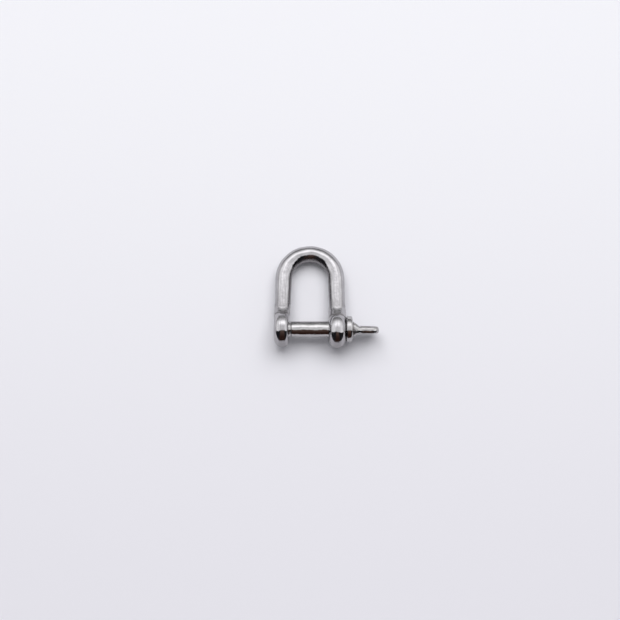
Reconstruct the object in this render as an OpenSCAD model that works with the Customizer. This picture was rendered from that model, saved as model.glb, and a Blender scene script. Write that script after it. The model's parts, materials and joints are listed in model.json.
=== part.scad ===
// Screw-pin D shackle for joining chain: a forged bow with two eyes and a pin that screws into one of them.
// It lies as it comes to rest, on both eyes and the back of its bend.
// The pin runs along X with its head at +X, the bow reaches along +Y, and +Z is up.
// The origin is on the pin's axis, midway between the outer faces of the eyes.

/* [Bow] */
// Bar diameter round the bend
bar_d = 5.0; // [4.6:0.1:5.6]
// Leg diameter at its end, inside the eye
leg_end_d = 4.7; // [4.4:0.05:4.8]
// Clear width between the legs where they leave the bend
inside_w = 11.0; // [10.4:0.1:16]
// How far each leg has spread outwards by the time it reaches the pin's axis
leg_spread = 0.45; // [0.2:0.05:0.6]
// Clear length from the pin's axis to the inside of the bend
inside_l = 21.2; // [18:0.1:30]

/* [Eyes] */
// Outside diameter of each eye
eye_d = 10.8; // [9.8:0.1:12]
// Thickness of the plain eye along the pin
plain_eye_t = 5.2; // [4.8:0.1:6]
// Thickness of the tapped eye along the pin
tapped_eye_t = 4.4; // [4.2:0.1:5]
// Rounding of the eye's rim
eye_round = 1.9; // [1:0.1:2]
// How far the eye's centre lies beyond the pin's axis
eye_offset = 0.2; // [0:0.05:0.6]
// Distance from the pin's axis at which the shoulder leaves the leg
shoulder_l = 5.95; // [5.6:0.05:6.4]
// Slope of the shoulder's swelling from the leg to the eye
shoulder_slope = 29; // [25:1:34]
// Diameter that the shoulder swells to inside the eye
shoulder_d = 6.8; // [6:0.1:7.2]
// How far the shoulder's flattened sides stay inside the faces of the eye
shoulder_inset = 0.03; // [0.02:0.01:0.08]
// Distance from the pin's axis to the middle of the leg's rounded end
leg_root = 5.2; // [4.8:0.05:5.8]
// Countersink at the mouths of both holes
hole_chamfer = 0.25; // [0.1:0.05:0.4]

/* [Pin] */
// Shank diameter
pin_d = 4.8; // [4.6:0.1:5.2]
// Outside diameter of the thread
thread_d = 4.8; // [4.6:0.1:4.8]
// Diameter of the relief groove between shank and thread
relief_d = 4.4; // [3.6:0.1:4.4]
// Length of the relief groove's floor
relief_l = 0.15; // [0.1:0.05:0.4]
// Length of visible clear space between the end of the shank and the tapped eye
shank_short = 0.9; // [0.1:0.05:1.2]
// How far the pin's tip stays below the outer face of the tapped eye
tip_short = 0.35; // [0:0.05:1]
// Chamfer at the pin's tip
tip_chamfer = 0.5; // [0.2:0.05:0.8]

/* [Head] */
// Collar diameter
collar_d = 7.9; // [7:0.1:9]
// Collar thickness
collar_t = 1.95; // [1.8:0.05:3]
// Rounding of the collar's rim
collar_round = 0.8; // [0.3:0.05:0.85]
// Neck diameter at the collar
neck_d = 4.8; // [4:0.1:6]
// Radius of the neck's hollow
neck_r = 6.0; // [4:0.1:8]
// Diameter at which the neck's hollow runs into the faces of the tab
neck_end_d = 1.2; // [1:0.05:1.6]
// Length of the head from the collar to its tip
head_l = 7.85; // [7.2:0.05:10]
// Width of the flattened tab
tab_w = 7.0; // [6.6:0.1:8.6]
// Thickness of the tab
tab_t = 2.1; // [1.9:0.05:2.6]
// Length over which the tab widens from the collar
flare_l = 3.0; // [2.4:0.1:3.6]
// Corner radius at the tip, seen on the tab's face
tab_corner = 2.2; // [1.6:0.1:2.6]
// How far the middle of the tab's edges stands out in a crown
edge_crown = 0.4; // [0.3:0.05:0.6]
// Distance from the tip to the middle of the eye in the tab
key_back = 3.9; // [3.5:0.1:4.2]
// Diameter of the eye in the tab
key_hole_d = 3.2; // [2:0.1:3.8]
// Turn of the tab from upright when the pin is tight
head_turn = 11; // [-90:1:90]

/* [Fits] */
// Radial clearance of the shank in the plain eye
shank_clearance = 0.08; // [0.04:0.01:0.1]
// Radial clearance of the thread in the tapped eye
thread_clearance = 0.06; // [0.03:0.01:0.1]
// Space between the collar and the face that it tightens against
collar_clearance = 0.05; // [0.02:0.01:0.1]

/* [Hidden] */
$fn = 96;
steel = [0.48, 0.47, 0.48];
cut_over = 1;

// Overlaps of forms that run into one another
weld = 0.01;
weld_l = 0.5;
shoulder_sunk = 0.3;
tab_sunk = 0.1;

// Bow, in its own plane: X across the legs, Y towards the bend
bar_r = bar_d / 2;
leg_end_r = leg_end_d / 2;
bend_r = inside_w / 2 + bar_r;
pin_to_bend = inside_l + bar_r;
bend_y = pin_to_bend - bend_r;

// Each leg runs from the pin's axis to the bend and meets the bend without a kink
leg_x = bend_r + leg_spread;
leg_reach = norm([leg_x, bend_y]);
leg_l = sqrt(leg_reach ^ 2 - bend_r ^ 2);
leg_turn = acos(bend_r / leg_reach) - atan2(bend_y, leg_x);

// The bow leans until the eyes and the bend touch the ground together
eye_r = eye_d / 2;
rest_tilt = asin((eye_r - bar_r) / (pin_to_bend + eye_offset));

// Stations along the pin's axis
eye_out_x = leg_x + leg_end_r;
pin_r = pin_d / 2;
thread_r = thread_d / 2;
relief_r = relief_d / 2;
collar_r = collar_d / 2;
collar_x = eye_out_x + collar_clearance;
collar_end_x = collar_x + collar_t;
shank_end_x = -eye_out_x + tapped_eye_t + shank_short;
relief_x = shank_end_x - (pin_r - relief_r);
thread_x = relief_x - relief_l;
tip_x = -eye_out_x + tip_short;

// Head
neck_end_r = neck_end_d / 2;
neck_l = sqrt(neck_r ^ 2 - (neck_r + neck_end_r - neck_d / 2) ^ 2);
head_start_x = collar_end_x - collar_t / 2;
head_end_x = collar_end_x + head_l;
tab_root_w = neck_d - 2 * tab_sunk;
flare_turn = atan2((tab_w - tab_root_w) / 2, flare_l);
plate_l = 4 * head_l;
crown_r = ((tab_t / 2) ^ 2 + edge_crown ^ 2) / (2 * edge_crown);
key_x = head_end_x - key_back;

// Turns a shape drawn along Z so that it runs along +X
module along_x() {
    rotate([0, 90, 0])
        children();
}

// Turns a shape drawn along Z so that it runs along +Y
module along_y() {
    rotate([-90, 0, 0])
        children();
}

// Half of a bar's section with both rim corners rounded, for a revolve: length along Y, radius along X
module rounded_disc_profile(r, t, corner) {
    square([r - corner, t]);
    translate([0, corner])
        square([r, t - 2 * corner]);
    for (y = [corner, t - corner])
        translate([r - corner, y])
            circle(corner);
}

// Round bar bent until it runs into both legs
module bend() {
    translate([0, bend_y, 0])
        rotate([0, 0, leg_turn])
            rotate_extrude(angle = 180 - 2 * leg_turn)
                translate([bend_r, 0])
                    circle(bar_r);
}

// Straight leg, tapering from inside the end of the bend to a rounded end in its eye
module leg() {
    along_y()
        rotate_extrude() {
            polygon([
                [0, leg_root],
                [leg_end_r, leg_root],
                [bar_r + weld, leg_l],
                [bar_r + weld - weld_l, leg_l + weld_l],
                [0, leg_l + weld_l]
            ]);
            intersection() {
                translate([0, leg_root])
                    circle(leg_end_r);
                translate([0, leg_root - leg_end_r])
                    square([leg_end_r, leg_end_r]);
            }
        }
}

// Swelling from the leg to the eye, a cone that begins inside the leg
module shoulder() {
    cone_l = (shoulder_d / 2 - leg_end_r) / tan(shoulder_slope);
    start_l = shoulder_sunk / tan(shoulder_slope);
    along_y()
        rotate_extrude()
            polygon([
                [0, 0],
                [shoulder_d / 2, 0],
                [shoulder_d / 2, shoulder_l - cone_l],
                [leg_end_r - shoulder_sunk, shoulder_l + start_l],
                [0, shoulder_l + start_l]
            ]);
}

// Space between the flattened sides of a shoulder, from the outer face of the eye inwards
module shoulder_sides(eye_t) {
    translate([eye_out_x - eye_t + shoulder_inset, -cut_over, -shoulder_d / 2])
        cube([eye_t - 2 * shoulder_inset, shoulder_l + 2 * cut_over, shoulder_d]);
}

// Rounded disc of an eye, before it is drilled
module eye_blank(eye_t) {
    translate([eye_out_x - eye_t, -eye_offset, 0])
        along_x()
            rotate_extrude()
                rounded_disc_profile(eye_r, eye_t, eye_round);
}

// Drill through one eye with a countersink at both mouths
module eye_hole(r, eye_t) {
    translate([eye_out_x - eye_t / 2, 0, 0])
        along_x() {
            translate([0, 0, -eye_t / 2 - cut_over])
                cylinder(h = eye_t + 2 * cut_over, r = r);
            for (side = [0, 1])
                mirror([0, 0, side])
                    translate([0, 0, eye_t / 2 - hole_chamfer])
                        cylinder(h = 2 * hole_chamfer, r1 = r, r2 = r + 2 * hole_chamfer);
        }
}

// Leg at +X with its shoulder and its drilled eye
module leg_and_eye(hole_r, eye_t) {
    difference() {
        union() {
            translate([leg_x, 0, 0])
                rotate([0, 0, leg_turn])
                    leg();
            intersection() {
                translate([leg_x, 0, 0])
                    rotate([0, 0, leg_turn])
                        shoulder();
                shoulder_sides(eye_t);
            }
            eye_blank(eye_t);
        }
        eye_hole(hole_r, eye_t);
    }
}

module shackle_body() {
    color(steel)
        rotate([-rest_tilt, 0, 0]) {
            bend();
            leg_and_eye(pin_r + shank_clearance, plain_eye_t);
            mirror([1, 0, 0])
                leg_and_eye(thread_r + thread_clearance, tapped_eye_t);
        }
}

// Shank, relief groove and thread blank as one turned profile
module pin_shaft() {
    along_x()
        rotate_extrude()
            polygon([
                [0, tip_x],
                [thread_r - tip_chamfer, tip_x],
                [thread_r, tip_x + tip_chamfer],
                [thread_r, thread_x - (thread_r - relief_r)],
                [relief_r, thread_x],
                [relief_r, relief_x],
                [pin_r, shank_end_x],
                [pin_r, collar_x + collar_t / 2],
                [0, collar_x + collar_t / 2]
            ]);
}

// Collar that the pin tightens up against
module collar() {
    translate([collar_x, 0, 0])
        along_x()
            rotate_extrude()
                rounded_disc_profile(collar_r, collar_t, collar_round);
}

// Neck that hollows in from the collar until it runs into the faces of the tab
module neck() {
    translate([head_start_x, 0, 0])
        along_x()
            rotate_extrude()
                difference() {
                    square([neck_d / 2, collar_end_x - head_start_x + neck_l]);
                    translate([neck_end_r + neck_r, collar_end_x - head_start_x + neck_l])
                        circle(neck_r);
                }
}

// Face of the tab: it widens from the neck and ends in two rounded corners
module tab_face() {
    corner_x = head_end_x - tab_corner;
    corner_z = tab_w / 2 - tab_corner;
    polygon([
        [head_start_x, -tab_root_w / 2],
        [collar_end_x, -tab_root_w / 2],
        [collar_end_x + flare_l, -tab_w / 2],
        [corner_x, -tab_w / 2],
        [corner_x, tab_w / 2],
        [collar_end_x + flare_l, tab_w / 2],
        [collar_end_x, tab_root_w / 2],
        [head_start_x, tab_root_w / 2]
    ]);
    translate([corner_x - cut_over, -corner_z])
        square([cut_over + tab_corner, 2 * corner_z]);
    for (z = [-corner_z, corner_z])
        translate([corner_x, z])
            circle(tab_corner);
}

// Plate of the tab's thickness that lies below one crowned edge, through (x, z) and rising at an angle
module below_edge(x, z, rise) {
    translate([x, 0, z])
        rotate([0, -rise, 0])
            rotate([90, 0, 90])
                linear_extrude(2 * plate_l, center = true)
                    intersection() {
                        translate([-tab_t / 2, -plate_l])
                            square([tab_t, plate_l]);
                        union() {
                            translate([-tab_t / 2, -plate_l])
                                square([tab_t, plate_l - edge_crown]);
                            translate([0, -crown_r])
                                circle(crown_r);
                        }
                    }
}

// Flattened tab: its face, with the tip, both sides and both flares crowned
module tab() {
    intersection() {
        rotate([90, 0, 0])
            linear_extrude(tab_t, center = true)
                tab_face();
        below_edge(head_end_x, 0, -90);
        below_edge(head_end_x, tab_w / 2, 0);
        below_edge(collar_end_x + flare_l, tab_w / 2, flare_turn);
        mirror([0, 0, 1])
            below_edge(head_end_x, tab_w / 2, 0);
        mirror([0, 0, 1])
            below_edge(collar_end_x + flare_l, tab_w / 2, flare_turn);
    }
}

module screw_pin() {
    color(steel)
        rotate([head_turn, 0, 0])
            difference() {
                union() {
                    pin_shaft();
                    collar();
                    neck();
                    tab();
                }
                translate([key_x, 0, 0])
                    rotate([90, 0, 0])
                        cylinder(h = 2 * tab_t, r = key_hole_d / 2, center = true);
            }
}

shackle_body();
screw_pin();
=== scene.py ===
"""Polished stainless screw-pin shackle on a pale table, seen from almost straight above.

Both pieces are built as distance functions in millimetres and meshed on their zero surface, so that legs,
shoulders, eyes, collar, neck and head run into one another as forged and turned metal does. The pin's thread
and the thread of the tapped eye are cut on one helix, so they mesh at rest.
"""
import json
import math

import bpy
import numpy as np
from mathutils import Matrix, Vector


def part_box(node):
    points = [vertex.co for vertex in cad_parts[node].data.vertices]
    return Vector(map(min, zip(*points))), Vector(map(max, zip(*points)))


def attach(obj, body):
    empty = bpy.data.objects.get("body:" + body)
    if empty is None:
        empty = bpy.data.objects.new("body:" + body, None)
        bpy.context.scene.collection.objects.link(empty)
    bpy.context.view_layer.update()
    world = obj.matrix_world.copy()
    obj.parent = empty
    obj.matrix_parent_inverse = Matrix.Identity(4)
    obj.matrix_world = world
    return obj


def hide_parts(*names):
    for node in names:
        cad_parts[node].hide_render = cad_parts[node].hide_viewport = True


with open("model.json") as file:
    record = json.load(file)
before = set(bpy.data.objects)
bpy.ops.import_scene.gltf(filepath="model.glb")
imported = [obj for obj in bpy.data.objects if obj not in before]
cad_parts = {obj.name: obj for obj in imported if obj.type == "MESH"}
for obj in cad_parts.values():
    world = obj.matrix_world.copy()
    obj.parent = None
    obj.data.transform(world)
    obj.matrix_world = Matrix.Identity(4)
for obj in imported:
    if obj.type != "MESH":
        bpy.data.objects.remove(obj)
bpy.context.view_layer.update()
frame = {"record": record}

MM = 0.001

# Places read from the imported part
mounts = {m["name"]: m for m in frame["record"]["mounts"]}
bend_pos = np.array(mounts["bow_bend"]["pos_m"]) / MM
key_axis = np.array(mounts["pin_eye"]["axis"])
bow_low, bow_high = (np.array(c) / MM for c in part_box("shackle_body"))
pin_low, pin_high = (np.array(c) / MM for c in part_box("screw_pin"))

# Bow, in its own plane: x across the legs, u towards the bend, n upwards out of the plane
TILT = math.atan2(-bend_pos[2], bend_pos[1])
INSIDE_L = float(np.linalg.norm(bend_pos))
EYE_OUT_X = float(bow_high[0])
BAR_R = 2.5
LEG_END_R = 2.35
LEG_ROOT = 5.2
LEG_SPREAD = 0.45
LEG_X = EYE_OUT_X - LEG_END_R
BEND_R = LEG_X - LEG_SPREAD
BEND_U = INSIDE_L + BAR_R - BEND_R
LEG_L = math.sqrt(LEG_X ** 2 + BEND_U ** 2 - BEND_R ** 2)
LEG_TURN = math.acos(BEND_R / math.hypot(LEG_X, BEND_U)) - math.atan2(BEND_U, LEG_X)
PLAIN_EYE_T = 5.2
TAPPED_EYE_T = 4.4
EYE_R = 5.4
PLAIN_EYE_ROUND = 2.4
TAPPED_EYE_ROUND = 2.1
TAPPED_INNER_ROUND = 1.3
PLAIN_EYE_OFFSET = 0.35
TAPPED_EYE_OFFSET = -0.1
SHOULDER_L = 5.95
SHOULDER_RAMP = math.radians(29)
SHOULDER_TOP = 3.5
SHOULDER_FILLET = 0.15
LEG_FILLET = 0.3
PLAIN_HOLE_R = 2.48
HOLE_CHAMFER = 0.25
HOLE_EDGE = 0.08
HOLE_OVER = 1.0
NO_HOLE = -1.0
TAPPED_MOUTH_SLOPE = 3.2

# Thread of the pin and of the tapped eye
PITCH = 0.8
THREAD_R = 2.4
THREAD_ROOT_R = 1.95
THREAD_GAP = 0.06
CREST_SHARE = 0.14
ROOT_SHARE = 0.22

# Pin, along x
KEY_X = mounts["pin_eye"]["pos_m"][0] / MM
KEY_R = mounts["pin_eye"]["dims"]["r_mm"]
HEAD_TURN = math.atan2(-key_axis[2], -key_axis[1])
TIP_X = float(pin_low[0])
HEAD_END_X = float(pin_high[0])
PIN_R = 2.4
PIN_TAPER = 0.04
RELIEF_R = 2.2
RELIEF_L = 0.15
THREAD_FROM_X = TAPPED_EYE_T - EYE_OUT_X
THREAD_RUNOUT = 0.3
RELIEF_SETBACK = 0.9
SHANK_END_X = THREAD_FROM_X + RELIEF_SETBACK
TIP_CHAMFER = 0.5
TIP_EDGE = 0.15
PROFILE_EASE = (-0.06, -0.02, 0.02, 0.06)
COLLAR_GAP = 0.05
COLLAR_X = EYE_OUT_X + COLLAR_GAP
COLLAR_T = 1.95
COLLAR_R = 3.95
COLLAR_ROUND = 0.55
COLLAR_FILLET = 0.12
COLLAR_MID_X = COLLAR_X + COLLAR_T / 2
COLLAR_END_X = COLLAR_X + COLLAR_T
NECK_R = 2.4
NECK_STATIONS = ((0.0, 2.4), (0.3, 2.24), (0.9, 1.87), (1.5, 1.42), (2.0, 1.07), (2.5, 0.86), (3.2, 0.7))
NECK_EASE = (-0.3, -0.18, -0.06, 0.06, 0.18, 0.3)
NECK_FILLET = 0.2
NECK_ROUND_L = 2.8
NECK_ROUND_SHARE = 0.92
TAB_HALF_W = 3.5
TAB_CORNER = 1.9
TAB_HALF_T = 1.0
TIP_HALF_T = 0.85
FLARE_L = 3.0
RIM_DEPTH = 0.42
RIM_SHARE = 0.95
HEAD_SAG = 0.18
HEAD_FILLET = 0.25
KEY_EDGE = 0.3


def smooth_min(a, b, width):
    """Union of two distances with a fillet about `width` wide."""
    near = np.maximum(width - np.abs(a - b), 0) / width
    return np.minimum(a, b) - near * near * width / 4


def smooth_max(a, b, width):
    """Cut of two distances with an edge softened over `width`."""
    return -smooth_min(-a, -b, width)


def rise(value, start, end):
    """0 before `start`, 1 past `end` and even between. `end` may be the lower of the two."""
    return np.clip((value - start) / (end - start), 0, 1)


def rounded_plate(along, outline, half_t, corner, depth):
    """Distance to a plate whose edges are rounded over `corner` of its thickness and `depth` of its rim."""
    a = (np.abs(along) - (half_t - corner)) / corner
    r = (outline + depth) / depth
    outside = np.hypot(np.maximum(a, 0), np.maximum(r, 0))
    return (np.minimum(np.maximum(a, r), 0) + outside - 1) * depth


def thread_radius(along, turn):
    """Radius of the pin's thread: a right-handed trapezoid wave along the helix."""
    phase = np.mod(along / PITCH - turn / (2 * math.pi), 1.0)
    flank = rise(np.abs(2 * phase - 1), ROOT_SHARE, 1 - CREST_SHARE)
    return THREAD_ROOT_R + (THREAD_R - THREAD_ROOT_R) * flank


WAVE_SPREAD = (0.7, 1.4)


def waves(seed, count, length, height):
    """A fixed set of plane waves that leaves a surface slightly uneven."""
    rng = np.random.default_rng(seed)
    heading = rng.normal(size=(count, 3))
    heading /= np.linalg.norm(heading, axis=1)[:, None]
    number = 2 * math.pi / (length * rng.uniform(*WAVE_SPREAD, count))
    return heading * number[:, None], rng.uniform(0, 2 * math.pi, count), height / math.sqrt(count)


def uneven(points, sets):
    """Height of the unevenness at each point."""
    total = np.zeros(len(points))
    for vectors, phases, height in sets:
        for vector, phase in zip(vectors, phases):
            total += height * np.sin(points @ vector + phase)
    return total


# Unevenness of the forging and of the turning: seed, number of waves, length and height in mm
FORGED = [waves(11, 9, 4.2, 0.022), waves(12, 12, 1.1, 0.004)]
TURNED = [waves(21, 6, 3.0, 0.016), waves(22, 8, 0.9, 0.006)]


def eye_outlines(x, u, n):
    """Distances, in the plane of an eye's plate, to its circle and to the ramp that falls to the leg."""
    circle = np.hypot(u + np.where(x > 0, PLAIN_EYE_OFFSET, TAPPED_EYE_OFFSET), n) - EYE_R
    ramp = np.abs(n) - LEG_END_R - (SHOULDER_L - u) * math.tan(SHOULDER_RAMP)
    ramp = np.maximum(ramp * math.cos(SHOULDER_RAMP), np.maximum(np.abs(n) - SHOULDER_TOP, -u))
    return circle, ramp


def bow_distance(p):
    """Distance to the bow, in its own plane."""
    x, u, n = p[:, 0], p[:, 1], p[:, 2]
    out = np.abs(x) - LEG_X
    along = u * math.cos(LEG_TURN) - out * math.sin(LEG_TURN)
    across = u * math.sin(LEG_TURN) + out * math.cos(LEG_TURN)
    across = np.where(along > LEG_L, np.hypot(x, u - BEND_U) - BEND_R, across)
    bar_r = BAR_R + (LEG_END_R - BAR_R) * rise(along, LEG_L, LEG_ROOT)
    bar = np.hypot(np.hypot(across, n), np.minimum(along - LEG_ROOT, 0)) - bar_r

    # Eye and shoulder, one rounded plate: a circle with a ramp that falls to the leg
    eye_t = np.where(x > 0, PLAIN_EYE_T, TAPPED_EYE_T)
    side = np.abs(x) - EYE_OUT_X + eye_t / 2
    eye_round = np.where(side > 0, TAPPED_EYE_ROUND, TAPPED_INNER_ROUND)
    eye_round = np.where(x > 0, PLAIN_EYE_ROUND, eye_round)
    outline = smooth_min(*eye_outlines(x, u, n), SHOULDER_FILLET)
    eye = rounded_plate(side, outline, eye_t / 2, eye_round, eye_round)
    body = smooth_min(bar, eye, LEG_FILLET) + uneven(p, FORGED)

    # Holes, plain at +x and tapped at -x, countersunk at both mouths
    mouth = np.maximum(np.abs(side) - (eye_t / 2 - HOLE_CHAMFER), 0)
    radial = np.hypot(u, n)
    plain = radial - PLAIN_HOLE_R - mouth
    tapped_r = thread_radius(x, np.arctan2(n, u) - TILT) + THREAD_GAP
    tapped_mouth_r = THREAD_ROOT_R + THREAD_GAP + mouth * TAPPED_MOUTH_SLOPE
    tapped = np.maximum(tapped_r - radial, tapped_mouth_r - radial)
    hole = np.where(x > 0, -plain, tapped)
    hole = np.where(np.abs(side) < eye_t / 2 + HOLE_OVER, hole, NO_HOLE)
    return smooth_max(body, hole, HOLE_EDGE)


def eased(x, stations, shifts):
    """Radius at x on the line through (x, radius) stations, its corners eased by a mean over `shifts`."""
    xs, radii = zip(*stations)
    return sum(np.interp(x + shift, xs, radii) for shift in shifts) / len(shifts)


def pin_profile(x):
    """Radius of the turned shaft before threading, with its edges eased."""
    relief_x = SHANK_END_X - (PIN_R - RELIEF_R)
    thread_x = relief_x - RELIEF_L
    stations = [
        (TIP_X, THREAD_R - TIP_CHAMFER),
        (TIP_X + TIP_CHAMFER, THREAD_R),
        (thread_x - (THREAD_R - RELIEF_R), THREAD_R),
        (thread_x, RELIEF_R),
        (relief_x, RELIEF_R),
        (SHANK_END_X, PIN_R - PIN_TAPER),
        (COLLAR_MID_X, PIN_R + PIN_TAPER),
    ]
    return eased(x, stations, PROFILE_EASE)


def pin_distance(p):
    """Distance to the pin, before it is turned to its place."""
    x, y, z = p[:, 0], p[:, 1], p[:, 2]
    radial = np.hypot(y, z)
    thread = thread_radius(x, np.arctan2(z, y) + HEAD_TURN)
    thread = thread + rise(x - THREAD_FROM_X, -THREAD_RUNOUT / 2, THREAD_RUNOUT / 2)
    shaft = smooth_max(radial - np.minimum(pin_profile(x), thread), TIP_X - x, TIP_EDGE)
    shaft = np.maximum(shaft, x - COLLAR_MID_X)

    collar = rounded_plate(x - COLLAR_MID_X, radial - COLLAR_R, COLLAR_T / 2, COLLAR_ROUND, COLLAR_ROUND)
    body = smooth_min(shaft, collar, COLLAR_FILLET)

    # Head, round at the collar, hollowing in to the faces of a tab that widens and ends in rounded corners
    away = x - COLLAR_END_X
    thin = rise(away, 0, HEAD_END_X - COLLAR_END_X)
    hollow = eased(away, NECK_STATIONS, NECK_EASE)
    half_t = smooth_max(hollow, TAB_HALF_T + (TIP_HALF_T - TAB_HALF_T) * thin, NECK_FILLET)
    flare = rise(away, 0, FLARE_L)
    half_w = NECK_R + (TAB_HALF_W - NECK_R) * flare * flare * (3 - 2 * flare)
    end = x - (HEAD_END_X - TAB_CORNER)
    edge = np.abs(z) - (half_w - TAB_CORNER)
    corner = np.hypot(np.maximum(end, 0), np.maximum(edge, 0))
    outline = corner + np.minimum(np.maximum(end, edge), 0) - TAB_CORNER
    depth = RIM_DEPTH + (NECK_ROUND_SHARE * NECK_R - RIM_DEPTH) * rise(away, NECK_ROUND_L, 0)
    head = rounded_plate(y + HEAD_SAG * flare, outline, half_t, half_t * RIM_SHARE, depth)
    head = np.maximum(head, COLLAR_MID_X - x)
    body = smooth_min(body, head, HEAD_FILLET) + uneven(p, TURNED)
    return smooth_max(body, KEY_R - np.hypot(x - KEY_X, z), KEY_EDGE)


def spaced(stops):
    """Grid lines through (end, step) stretches, beginning at the first stop's place."""
    lines = [np.array([stops[0][0]])]
    for (start, _), (end, step) in zip(stops, stops[1:]):
        count = max(int(round((end - start) / step)), 1)
        lines.append(np.linspace(start, end, count + 1)[1:])
    return np.concatenate(lines)


def surface_net(distance, xs, ys, zs):
    """Quads of the zero surface of a distance function, on a grid of any spacing."""
    yz = np.stack(np.meshgrid(ys, zs, indexing="ij"), -1).reshape(-1, 2)
    field = np.empty((len(xs), len(ys), len(zs)))
    for i, x in enumerate(xs):
        field[i] = distance(np.column_stack([np.full(len(yz), x), yz])).reshape(len(ys), len(zs))
    inside = field < 0
    corners = [(i, j, k) for i in (0, 1) for j in (0, 1) for k in (0, 1)]
    shape = np.array(field.shape) - 1
    full = np.zeros(shape, int)
    for i, j, k in corners:
        full += inside[i:i + shape[0], j:j + shape[1], k:k + shape[2]]
    cells = np.argwhere((full > 0) & (full < 8))
    number = np.full(shape, -1)
    number[tuple(cells.T)] = np.arange(len(cells))

    # Each cell's point is the mean of the crossings on its edges
    grid = (xs, ys, zs)
    total = np.zeros((len(cells), 3))
    hits = np.zeros(len(cells))
    for a in corners:
        for axis in range(3):
            if a[axis]:
                continue
            b = tuple(v + (m == axis) for m, v in enumerate(a))
            at_a, at_b = cells + a, cells + b
            va, vb = field[tuple(at_a.T)], field[tuple(at_b.T)]
            cut = (va < 0) != (vb < 0)
            t = va[cut] / (va[cut] - vb[cut])
            pa = np.column_stack([g[i] for g, i in zip(grid, at_a[cut].T)])
            pb = np.column_stack([g[i] for g, i in zip(grid, at_b[cut].T)])
            total[cut] += pa + (pb - pa) * t[:, None]
            hits[cut] += 1
    points = total / hits[:, None]

    # Each cut grid edge is ringed by four cells
    quads = []
    for axis in range(3):
        near = [slice(None)] * 3
        far = [slice(None)] * 3
        near[axis], far[axis] = slice(0, -1), slice(1, None)
        first, second = inside[tuple(near)], inside[tuple(far)]
        m, n = (axis + 1) % 3, (axis + 2) % 3
        for turned, edges in ((False, first & ~second), (True, ~first & second)):
            at = np.argwhere(edges)
            ring = []
            for dm, dn in ((-1, -1), (0, -1), (0, 0), (-1, 0)):
                cell = at.copy()
                cell[:, m] += dm
                cell[:, n] += dn
                ring.append(number[tuple(cell.T)])
            quad = np.column_stack(ring)
            quads.append(quad[:, ::-1] if turned else quad)
    return points, np.concatenate(quads)


TINY = 1e-9
LEAST_SQUARE = 0.05


def gradient(distance, points, step=0.01):
    """Slope of a distance function at each point."""
    slope = np.empty_like(points)
    for axis in range(3):
        shift = np.zeros(3)
        shift[axis] = step
        slope[:, axis] = (distance(points + shift) - distance(points - shift)) / (2 * step)
    return slope


def settle(distance, points, rounds=4, reach=0.06):
    """Moves points onto the zero surface, and returns them with the surface's normals."""
    for _ in range(rounds):
        slope = gradient(distance, points)
        square = np.maximum((slope ** 2).sum(1), LEAST_SQUARE)
        move = distance(points) / square
        step = slope * move[:, None]
        size = np.linalg.norm(step, axis=1)
        points = points - step * np.minimum(1, reach / np.maximum(size, TINY))[:, None]
    normal = gradient(distance, points)
    return points, normal / np.maximum(np.linalg.norm(normal, axis=1), TINY)[:, None]


# Marks on the metal. A range holds the values at which a mark begins and is full
CREVICE_REACH, CREVICE_RANGE = 0.35, (0.03, 0.63)
CREASE_REACH, CREASE_RANGE = 3.8, (0.004, 0.054)
# Painted shade on the bow: faces towards the clear space, eyes' ends, feet of the legs and sides
INNER_FACE, INNER_U = (0.62, 0.82), (SHOULDER_L, SHOULDER_L + 2)
END_SHADE, END_FACE, END_U = 0.8, (0.66, 0.96), (-2.2, -3.8)
FOOT_SHADE, FOOT_U, FOOT_TOP_U = 0.4, (SHOULDER_L, SHOULDER_L + 1), (12, 7)
SIDE_SHADE, SIDE_FACE = 0.4, (0.6, 0.3)
ROOT_SATIN, ROOT_U, ROOT_TOP_U = 0.4, (1.8, 2.6), (7.0, 6.2)
# Painted shade along the crease where an eye meets its shoulder: its strength and width in mm
SEAM_SHADE, SEAM_W = 0.8, 0.34
NECK_SATIN, NECK_FROM, NECK_TO = 0.6, (0, 0.1), (2.6, 1.0)


def crevice(distance, points, normals, reach, shut_range):
    """0 on open metal, up to 1 where another surface rises within `reach`."""
    shut = 1 - distance(points + normals * reach) / reach
    return rise(shut, *shut_range)


def painted_bow_shade(points, normals):
    """0 on polished metal, up to 1 where the bow's colour is darkened as painted shade and its finish made
    rougher.

    Most of all where it faces the clear space, then at the eyes' ends, the feet of the legs and the sides.
    """
    across, along, u = points[:, 0], np.maximum(points[:, 1] - BEND_U, 0), points[:, 1]
    reach = np.maximum(np.hypot(across, along), TINY)
    inward = -(normals[:, 0] * across + normals[:, 1] * along) / reach
    inner = rise(inward, *INNER_FACE) * rise(u, *INNER_U)
    ends = rise(-normals[:, 1], *END_FACE) * rise(u, *END_U)
    foot = rise(u, *FOOT_TOP_U) * rise(u, *FOOT_U)
    sides = rise(np.abs(normals[:, 2]), *SIDE_FACE)
    return np.max([inner, END_SHADE * ends, FOOT_SHADE * foot, SIDE_SHADE * sides], axis=0)


def shoulder_hollow(points, normals):
    """0 on open metal, up to 1 in the shallow crease between leg and eye, where polishing is poor."""
    u = points[:, 1]
    root = rise(u, *ROOT_U) * rise(u, *ROOT_TOP_U)
    crease = crevice(bow_distance, points, normals, CREASE_REACH, CREASE_RANGE)
    return np.maximum(crease, ROOT_SATIN * root)


def shoulder_seam(points):
    """0 on open metal, up to the seam's share of painted shade along the crease where an eye's circle meets
    its shoulder.
    """
    circle, ramp = eye_outlines(*points.T)
    near = np.clip(1 - np.abs(circle - ramp) / SEAM_W, 0, 1)
    return SEAM_SHADE * np.where(np.maximum(circle, ramp) > -PLAIN_EYE_ROUND, near, 0)


def neck_of_pin(points, normals):
    """0 on turned metal, up to NECK_SATIN on the neck, which is left as forged."""
    away = points[:, 0] - COLLAR_END_X
    return NECK_SATIN * rise(away, *NECK_FROM) * rise(away, *NECK_TO)


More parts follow.
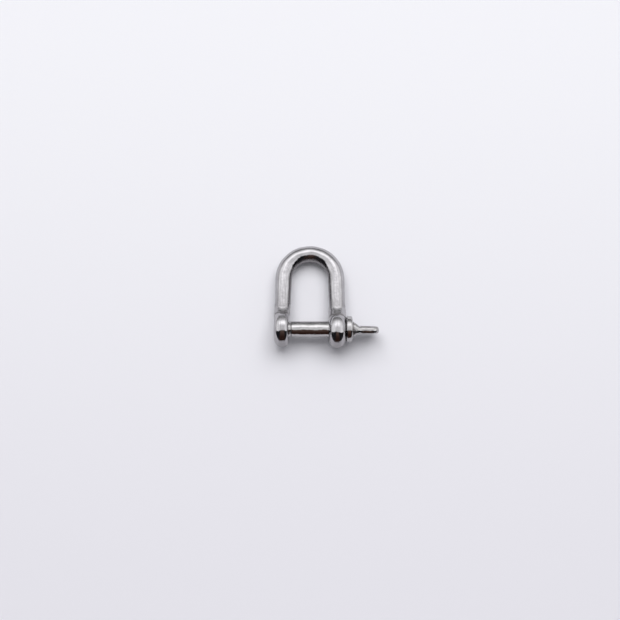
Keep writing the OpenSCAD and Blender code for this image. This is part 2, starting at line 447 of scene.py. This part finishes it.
def along_bar(points):
    """Places on the bow by distance along the bar, from eye to eye, and by place in its section."""
    x, u, n = points.T
    out = np.abs(x) - LEG_X
    along = u * math.cos(LEG_TURN) - out * math.sin(LEG_TURN)
    across = u * math.sin(LEG_TURN) + out * math.cos(LEG_TURN)
    bent = along > LEG_L
    turn = np.arctan2(u - BEND_U, np.abs(x)) - LEG_TURN
    along = np.where(bent, LEG_L + BEND_R * turn, along)
    across = np.where(bent, np.hypot(x, u - BEND_U) - BEND_R, across)
    half = LEG_L + BEND_R * (math.pi / 2 - LEG_TURN)
    return np.column_stack([np.sign(x) * (along - half), across, n])


def along_pin(points):
    """Places on the pin, which is polished along its axis."""
    return points


def nowhere(points, *_):
    """A mark that a piece doesn't have."""
    return np.zeros(len(points))


def metal_piece(
    name, distance, grid, turn, body, node, lay, hollow=nowhere, dull=nowhere, seam=nowhere
):
    """Meshes a distance function, turns it about x to its place and hangs it on its body."""
    points, quads = surface_net(distance, *grid)
    points, normals = settle(distance, points)
    tight = crevice(distance, points, normals, CREVICE_REACH, CREVICE_RANGE)
    # Marks for the steel: crevice and dull darken its colour as painted shade, hollow only roughens it
    marks = {
        "crevice": np.maximum(tight, seam(points)),
        "hollow": hollow(points, normals),
        "dull": dull(points, normals),
    }
    spin = np.array(Matrix.Rotation(turn, 3, "X"))
    mesh = bpy.data.meshes.new(name)
    mesh.from_pydata((points @ spin.T * MM).tolist(), [], quads.tolist())
    mesh.validate()
    mesh.shade_smooth()
    mesh.normals_split_custom_set_from_vertices((normals @ spin.T).tolist())
    for mark_name, values in marks.items():
        mark = mesh.attributes.new(mark_name, "FLOAT", "POINT")
        mark.data.foreach_set("value", values.astype(np.float32))
    mark = mesh.attributes.new("lay", "FLOAT_VECTOR", "POINT")
    mark.data.foreach_set("vector", (lay(points) * MM).astype(np.float32).ravel())
    piece = bpy.data.objects.new(name, mesh)
    bpy.context.scene.collection.objects.link(piece)
    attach(piece, body)
    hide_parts(node)
    return piece


# Pieces, on grids that are fine at the threads. The margins also decide where the grid lines fall: with
# these, every edge of both meshes is shared by two faces
BOW_MARGIN, BOW_STEP = 0.47, 0.18
TAPPED_STEP, TAPPED_OVER = 0.11, 0.3
HOLE_HALF, HOLE_STEP_U, HOLE_STEP_N = 3.0, 0.125, 0.13
bow_grid = (
    spaced([
        (-EYE_OUT_X - BOW_MARGIN, 0), (THREAD_FROM_X + TAPPED_OVER, TAPPED_STEP),
        (EYE_OUT_X + BOW_MARGIN, BOW_STEP),
    ]),
    spaced([
        (-EYE_R - PLAIN_EYE_OFFSET - BOW_MARGIN, 0), (-HOLE_HALF, BOW_STEP), (HOLE_HALF, HOLE_STEP_U),
        (INSIDE_L + 2 * BAR_R + BOW_MARGIN, BOW_STEP),
    ]),
    spaced([
        (-EYE_R - BOW_MARGIN, 0), (-HOLE_HALF, BOW_STEP), (HOLE_HALF, HOLE_STEP_N),
        (EYE_R + BOW_MARGIN, BOW_STEP),
    ]),
)
bow = metal_piece(
    "bow_forging", bow_distance, bow_grid, -TILT, "bow", "shackle_body",
    along_bar, shoulder_hollow, painted_bow_shade, shoulder_seam,
)

PIN_MARGIN, PIN_STEP, PIN_STEP_ACROSS = 0.36, 0.12, 0.11
THREAD_STEP, THREAD_OVER = 0.08, 0.4
pin_half = max(COLLAR_R, TAB_HALF_W) + PIN_MARGIN
pin_across = spaced([(-pin_half, 0), (pin_half, PIN_STEP_ACROSS)])
pin_along = spaced([
    (TIP_X - PIN_MARGIN, 0), (SHANK_END_X + THREAD_OVER, THREAD_STEP), (HEAD_END_X + PIN_MARGIN, PIN_STEP),
])
pin = metal_piece(
    "screw_pin_turned", pin_distance, (pin_along, pin_across, pin_across), HEAD_TURN,
    "pin", "screw_pin", along_pin, neck_of_pin,
)


class Nodes:
    """Short hand for building one node tree."""

    def __init__(self, tree):
        self.tree = tree
        tree.nodes.clear()

    def add(self, kind, inputs=None, **settings):
        node = self.tree.nodes.new(kind)
        for name, value in settings.items():
            setattr(node, name, value)
        for name, value in (inputs or {}).items():
            socket = node.inputs[name]
            if isinstance(value, bpy.types.NodeSocket):
                self.tree.links.new(value, socket)
            else:
                socket.default_value = value
        return node

    def math(self, operation, a, b=0.0, clamp=False):
        node = self.add("ShaderNodeMath", {0: a, 1: b}, operation=operation, use_clamp=clamp)
        return node.outputs[0]

    def span(self, value, low, high, to_low=0.0, to_high=1.0):
        ends = {"Value": value, "From Min": low, "From Max": high, "To Min": to_low, "To Max": to_high}
        return self.add("ShaderNodeMapRange", ends, interpolation_type="SMOOTHSTEP").outputs["Result"]

    def noise(self, vector, size_mm, detail=2.0, roughness=0.5):
        """Noise whose features are about size_mm across, on a vector in metres."""
        settings = {"Vector": vector, "Scale": 1 / (size_mm * MM), "Detail": detail, "Roughness": roughness}
        return self.add("ShaderNodeTexNoise", settings).outputs["Fac"]

    def mix(self, share, a, b):
        node = self.add("ShaderNodeMix", data_type="RGBA")
        for socket, value in ((node.inputs[0], share), (node.inputs[6], a), (node.inputs[7], b)):
            if isinstance(value, bpy.types.NodeSocket):
                self.tree.links.new(value, socket)
            else:
                socket.default_value = value
        return node.outputs[2]


# Steel: sizes of its texture in mm, colours of its marks and how strongly each mark shows
CLOUD_MM, GRAIN_MM, STREAK_MM = 2.4, 0.4, 0.45
STREAK_STRETCH = (0.1, 1, 1)
PIT_CELL_MM, PIT_PATCH_MM, PIT_DEPTH = 0.75, 1.7, 0.02
PIT_SIZE, PIT_PATCHES = (0.07, 0.22), (0.53, 0.64)
PIT_SHARE, STREAK_SHARE, BOW_SHADE_SHARE = 0.75, 0.55, 0.85
SPOILT_ROUGH, BOW_SHADE_ROUGH_SHARE, SATIN_ROUGH = 0.3, 0.6, 0.38
PIT_COLOUR, STREAK_COLOUR = (0.11, 0.10, 0.10, 1), (0.33, 0.325, 0.33, 1)
# Colours of painted shade: in crevices and seams, and on the bow's faces marked dull
CREVICE_SHADE_COLOUR, BOW_SHADE_COLOUR = (0.10, 0.085, 0.08, 1), (0.21, 0.20, 0.205, 1)


def steel(name, bright, dull, grain, streaks, low_rough, high_rough):
    """Polished stainless steel: cloudy polish, fine grain, drawn marks, pits, painted shade and satin
    places.

    `grain` and `streaks` are heights in mm, and the roughness runs from `low_rough` to `high_rough`.
    """
    material = bpy.data.materials.new(name)
    material.use_nodes = True
    n = Nodes(material.node_tree)
    place = n.add("ShaderNodeTexCoord").outputs["Object"]
    tight = n.add("ShaderNodeAttribute", attribute_name="crevice").outputs["Fac"]
    hollow = n.add("ShaderNodeAttribute", attribute_name="hollow").outputs["Fac"]
    # The dull mark: painted shade on the bow, which also makes it rougher
    bow_shade = n.add("ShaderNodeAttribute", attribute_name="dull").outputs["Fac"]

    cloud = n.noise(place, CLOUD_MM, 3.0)
    fine = n.noise(place, GRAIN_MM, 3.0, 0.6)
    lay = n.add("ShaderNodeAttribute", attribute_name="lay").outputs["Vector"]
    stretch = n.add("ShaderNodeMapping", {"Vector": lay, "Scale": STREAK_STRETCH}).outputs["Vector"]
    drawn = n.noise(stretch, STREAK_MM, 2.0, 0.6)

    scatter = {"Vector": place, "Scale": 1 / (PIT_CELL_MM * MM), "Randomness": 1.0}
    cells = n.add("ShaderNodeTexVoronoi", scatter)
    spot = n.span(cells.outputs["Distance"], *PIT_SIZE, 1.0, 0.0)
    patch = n.span(n.noise(place, PIT_PATCH_MM, 2.0), *PIT_PATCHES)
    pit = n.math("MULTIPLY", spot, patch)

    # Painted shade in crevices and along the seam, broken up by the grain; it also roughens them
    crevice_shade = n.math("MULTIPLY", tight, n.span(fine, 0.2, 0.7, 0.55, 1.0), clamp=True)
    metal = n.mix(n.span(cloud, 0.35, 0.7), bright, dull)
    metal = n.mix(n.math("MULTIPLY", pit, PIT_SHARE), metal, PIT_COLOUR)
    metal = n.mix(n.span(drawn, 0.47, 0.7, 0.0, STREAK_SHARE), metal, STREAK_COLOUR)
    metal = n.mix(crevice_shade, metal, CREVICE_SHADE_COLOUR)
    # Painted shade on the bow's inner faces, eyes' ends, feet and sides
    metal = n.mix(n.math("MULTIPLY", bow_shade, BOW_SHADE_SHARE), metal, BOW_SHADE_COLOUR)

    rough = n.span(cloud, 0.3, 0.75, low_rough, high_rough)
    spoilt = n.math("MAXIMUM", n.math("MAXIMUM", pit, crevice_shade), n.math("MULTIPLY", bow_shade, BOW_SHADE_ROUGH_SHARE))
    rough = n.math("ADD", rough, n.math("MULTIPLY", spoilt, SPOILT_ROUGH))
    rough = n.math("ADD", rough, n.math("MULTIPLY", hollow, SATIN_ROUGH), clamp=True)

    height = n.math("ADD", n.math("MULTIPLY", fine, grain), n.math("MULTIPLY", drawn, streaks))
    height = n.math("SUBTRACT", height, n.math("MULTIPLY", pit, PIT_DEPTH))
    bump = n.add("ShaderNodeBump", {"Height": height, "Distance": MM, "Strength": 1.0}).outputs["Normal"]

    inputs = {"Base Color": metal, "Metallic": 1.0, "Roughness": rough, "Normal": bump}
    shader = n.add("ShaderNodeBsdfPrincipled", inputs)
    n.add("ShaderNodeOutputMaterial", {"Surface": shader.outputs["BSDF"]})
    return material


BOW_BRIGHT, BOW_DULL = (0.49, 0.48, 0.49, 1), (0.43, 0.42, 0.43, 1)
PIN_BRIGHT, PIN_DULL = (0.50, 0.49, 0.49, 1), (0.46, 0.45, 0.45, 1)
bow.data.materials.append(steel("cast_polished_steel", BOW_BRIGHT, BOW_DULL, 0.006, 0.017, 0.05, 0.12))
pin.data.materials.append(steel("turned_polished_steel", PIN_BRIGHT, PIN_DULL, 0.006, 0.014, 0.05, 0.1))

# Table, with painted light and shade in its colour: darker towards the front, lighter behind and darker
# again under the lamp
FLOOR_HALF = 1.2
floor_z = float(bow_low[2]) * MM
floor_mesh = bpy.data.meshes.new("table")
corners = [(-1, -1), (1, -1), (1, 1), (-1, 1)]
floor_mesh.from_pydata([(x * FLOOR_HALF, y * FLOOR_HALF, floor_z) for x, y in corners], [], [(0, 1, 2, 3)])
floor = bpy.data.objects.new("table", floor_mesh)
bpy.context.scene.collection.objects.link(floor)

paper = bpy.data.materials.new("white_table")
paper.use_nodes = True
n = Nodes(paper.node_tree)
place = n.add("ShaderNodeTexCoord").outputs["Object"]
deep = n.add("ShaderNodeSeparateXYZ", {"Vector": place}).outputs["Y"]
NEAR_SHADED_PAPER, FAR_LIT_PAPER = (0.775, 0.765, 0.81, 1), (0.825, 0.825, 0.857, 1)
UNDER_LAMP_SHADED_PAPER = (0.60, 0.60, 0.625, 1)
VIEW_DEPTH, LAMP_DEPTH = (-0.09, 0.10), (0.12, 0.6)
PAPER_ROUGH, PAPER_SHINE = 0.75, 0.2
# Painted falloff of the softbox's light, and painted shade under the lamp
painted_falloff = n.mix(n.span(deep, *VIEW_DEPTH), NEAR_SHADED_PAPER, FAR_LIT_PAPER)
painted_falloff = n.mix(n.span(deep, *LAMP_DEPTH), painted_falloff, UNDER_LAMP_SHADED_PAPER)
matt = {"Base Color": painted_falloff, "Roughness": PAPER_ROUGH, "Specular IOR Level": PAPER_SHINE}
shader = n.add("ShaderNodeBsdfPrincipled", matt)
n.add("ShaderNodeOutputMaterial", {"Surface": shader.outputs["BSDF"]})
floor_mesh.materials.append(paper)

# Room light: dim for the table, and for mirrors a room whose back wall is dark low down and bright high up
world = bpy.data.worlds.new("pale_room")
world.use_nodes = True
bpy.context.scene.world = world
n = Nodes(world.node_tree)
heading = n.add("ShaderNodeSeparateXYZ", {"Vector": n.add("ShaderNodeTexCoord").outputs["Generated"]})
up, rear = heading.outputs["Z"], heading.outputs["Y"]
ROOM_TOP = 2.2
BACK_WALL = (
    (0.0, 0.20), (0.10, 0.25), (0.25, 0.40), (0.41, 0.65), (0.53, 1.0), (0.648, 1.5), (0.74, 1.95),
    (0.825, 2.2), (0.89, 1.8), (0.94, 1.3), (0.98, 1.0), (1.0, 0.9),
)
SIDE_WALLS = ((0.0, 0.80), (0.135, 0.80), (0.30, 1.0), (0.4475, 1.43), (0.7, 1.31), (1.0, 1.10))
BACK_BEARING, FRONT_BEARING, FRONT_GLOW = (0.5, 0.95), (-0.9, -0.1), 0.85
SPREAD_DEPTH, SPREAD_GLOW = (-0.7, 0.6), (0.6, 1.35)
BLUE_CAST = 1.02
LEAST_LEVEL = 0.0001


def wall(n, height, stops):
    """Brightness of one wall of the room by height, from the horizon to straight above."""
    node = n.add("ShaderNodeValToRGB", {"Fac": height})
    marks = node.color_ramp.elements
    marks[-1].position = stops[-1][0]
    for place, _ in stops[1:-1]:
        marks.new(place)
    for mark, (_, bright) in zip(marks, stops):
        share = bright / ROOM_TOP
        mark.color = (share, share, share * BLUE_CAST, 1)
    return node.outputs["Color"]


level = n.math("SUBTRACT", 1.0, n.math("MULTIPLY", up, up))
level = n.math("SQRT", n.math("MAXIMUM", level, LEAST_LEVEL))
bearing = n.math("DIVIDE", rear, level)
walls = n.mix(n.span(bearing, *BACK_BEARING), wall(n, up, SIDE_WALLS), wall(n, up, BACK_WALL))
glow = n.math("MULTIPLY", n.span(bearing, *FRONT_BEARING, FRONT_GLOW, 1.0), ROOM_TOP)
mirrored = n.add("ShaderNodeBackground", {"Color": walls, "Strength": glow})
PALE, DIM = (0.84, 0.84, 0.87, 1), (0.40, 0.40, 0.415, 1)
seen = n.add("ShaderNodeBackground", {"Color": PALE, "Strength": 1.0})
spread_glow = n.span(rear, *SPREAD_DEPTH, *SPREAD_GLOW)
spread = n.add("ShaderNodeBackground", {"Color": DIM, "Strength": spread_glow})
path = n.add("ShaderNodeLightPath").outputs
sharp = n.math("MAXIMUM", path["Is Glossy Ray"], path["Is Transmission Ray"])
room = n.add("ShaderNodeMixShader", {0: sharp, 1: spread.outputs[0], 2: mirrored.outputs[0]})
room = n.add("ShaderNodeMixShader", {0: path["Is Camera Ray"], 1: room.outputs[0], 2: seen.outputs[0]})
n.add("ShaderNodeOutputWorld", {"Surface": room.outputs[0]})


def facing(place, target):
    """Turn of an object at `place` whose -Z looks at `target`."""
    return (Vector(target) - Vector(place)).to_track_quat("-Z", "Y")


# Softbox behind the object and above it, a little to its right
SOFTBOX_FAR = 1.4
SOFTBOX_UP = math.radians(59.5)
SOFTBOX_RIGHT = math.radians(3)
SOFTBOX_SIZE = (1.6, 1.08)
SOFTBOX_WATTS = 19.0
softbox_flat = SOFTBOX_FAR * math.cos(SOFTBOX_UP)
softbox_at = (
    softbox_flat * math.sin(SOFTBOX_RIGHT),
    softbox_flat * math.cos(SOFTBOX_RIGHT),
    SOFTBOX_FAR * math.sin(SOFTBOX_UP),
)
light = bpy.data.lights.new("softbox", "AREA")
light.shape = "RECTANGLE"
light.size, light.size_y = SOFTBOX_SIZE
light.energy = SOFTBOX_WATTS
softbox = bpy.data.objects.new("softbox", light)
softbox.location = softbox_at
softbox.rotation_mode = "QUATERNION"
softbox.rotation_quaternion = facing(softbox_at, (0, 0, 0))
softbox.visible_glossy = False
bpy.context.scene.collection.objects.link(softbox)

# Dark panel in front of the table, seen only in the polished metal and glowing faintly: a painted
# reflection, brown in its middle, black at its sides
PANEL_FAR = 0.5
PANEL_HALF_TURN = math.radians(82)
PANEL_LOW, PANEL_SIDE_LOW = (math.radians(d) for d in (0.2, 2.5))
PANEL_HIGH, PANEL_SIDE_HIGH = (math.radians(d) for d in (78, 8))
PANEL_TOP_POWER = 3.8
PANEL_COLUMNS, PANEL_ROWS = 64, 16
PANEL_TOP_FADE, PANEL_FOOT_FADE = (0.9, 1.0), (0.0, 0.01)
BROWN_WIDTH, BROWN_HEIGHT = (0.13, 0.34), (0.35, 1.0)
DARK_BROWN, WARM_BROWN = (0.045, 0.022, 0.017, 1), (0.15, 0.10, 0.085, 1)
NEAR_BLACK = (0.018, 0.018, 0.021, 1)
verts, faces, shades = [], [], []
for i in range(PANEL_COLUMNS + 1):
    across_share = 2 * i / PANEL_COLUMNS - 1
    top = PANEL_HIGH + (PANEL_SIDE_HIGH - PANEL_HIGH) * abs(across_share) ** PANEL_TOP_POWER
    foot = PANEL_LOW + (PANEL_SIDE_LOW - PANEL_LOW) * across_share ** 2
    for j in range(PANEL_ROWS + 1):
        up_share = j / PANEL_ROWS
        turn = PANEL_HALF_TURN * across_share
        lift = foot + (top - foot) * up_share
        flat = PANEL_FAR * math.cos(lift)
        verts.append((flat * math.sin(turn), -flat * math.cos(turn), PANEL_FAR * math.sin(lift)))
        shades.append((abs(across_share), lift / PANEL_HIGH, up_share, 1))
for i in range(PANEL_COLUMNS):
    for j in range(PANEL_ROWS):
        a = i * (PANEL_ROWS + 1) + j
        faces.append((a, a + PANEL_ROWS + 1, a + PANEL_ROWS + 2, a + 1))
panel_mesh = bpy.data.meshes.new("dark_panel")
panel_mesh.from_pydata(verts, [], faces)
mark = panel_mesh.color_attributes.new("share", "FLOAT_COLOR", "POINT")
mark.data.foreach_set("color", np.array(shades).ravel())
panel = bpy.data.objects.new("dark_panel", panel_mesh)
bpy.context.scene.collection.objects.link(panel)
panel.visible_camera = panel.visible_diffuse = panel.visible_shadow = False
panel.visible_transmission = panel.visible_volume_scatter = False
panel_glow = bpy.data.materials.new("dark_panel_glow")
panel_glow.use_nodes = True
n = Nodes(panel_glow.node_tree)
share = n.add("ShaderNodeVertexColor", layer_name="share").outputs["Color"]
share = n.add("ShaderNodeSeparateColor", {"Color": share}).outputs
# Painted reflection: the panel's faint glow, brown in the middle and black at the sides
reflected_tone = n.mix(n.span(share["Green"], *BROWN_HEIGHT), DARK_BROWN, WARM_BROWN)
reflected_tone = n.mix(n.span(share["Red"], *BROWN_WIDTH), reflected_tone, NEAR_BLACK)
glow = n.add("ShaderNodeEmission", {"Color": reflected_tone, "Strength": 1.0})
clear = n.add("ShaderNodeBsdfTransparent")
top_edge = n.span(share["Blue"], *PANEL_TOP_FADE, 1.0, 0.0)
edge = n.math("MULTIPLY", top_edge, n.span(share["Blue"], *PANEL_FOOT_FADE))
skin = n.add("ShaderNodeMixShader", {0: edge, 1: clear.outputs[0], 2: glow.outputs[0]})
n.add("ShaderNodeOutputMaterial", {"Surface": skin.outputs[0]})
panel_mesh.materials.append(panel_glow)

# Camera at the photograph's angle: the pin's middle is seen at PIN_PIXEL of a 620 pixel square frame
FRAME_PX = 620
PIN_PIXEL = (309.9, 329.15)
PX_PER_MM = 3.32
CAMERA_FAR_PX = 1000
CAMERA_FAR = CAMERA_FAR_PX / PX_PER_MM * MM
CAMERA_UP = math.radians(82)
CAMERA_CLIP = (0.01, 20)
SENSOR = 36.0
eye_line = Vector((0, -math.cos(CAMERA_UP), math.sin(CAMERA_UP)))
up_line = Vector((0, math.sin(CAMERA_UP), math.cos(CAMERA_UP)))
across = Vector((1, 0, 0))
mid = FRAME_PX / 2
aim = across * ((mid - PIN_PIXEL[0]) / PX_PER_MM * MM)
aim += up_line * ((PIN_PIXEL[1] - mid) / PX_PER_MM * MM)
camera = bpy.data.cameras.new("camera")
camera.sensor_width = SENSOR
camera.lens = SENSOR / 2 * (CAMERA_FAR / MM) * PX_PER_MM / mid
camera.clip_start, camera.clip_end = CAMERA_CLIP
shot = bpy.data.objects.new("camera", camera)
shot.location = aim + eye_line * CAMERA_FAR
shot.rotation_mode = "QUATERNION"
shot.rotation_quaternion = Matrix((across, up_line, eye_line)).transposed().to_quaternion()
bpy.context.scene.collection.objects.link(shot)
bpy.context.scene.camera = shot
bpy.context.scene.view_settings.view_transform = "Standard"
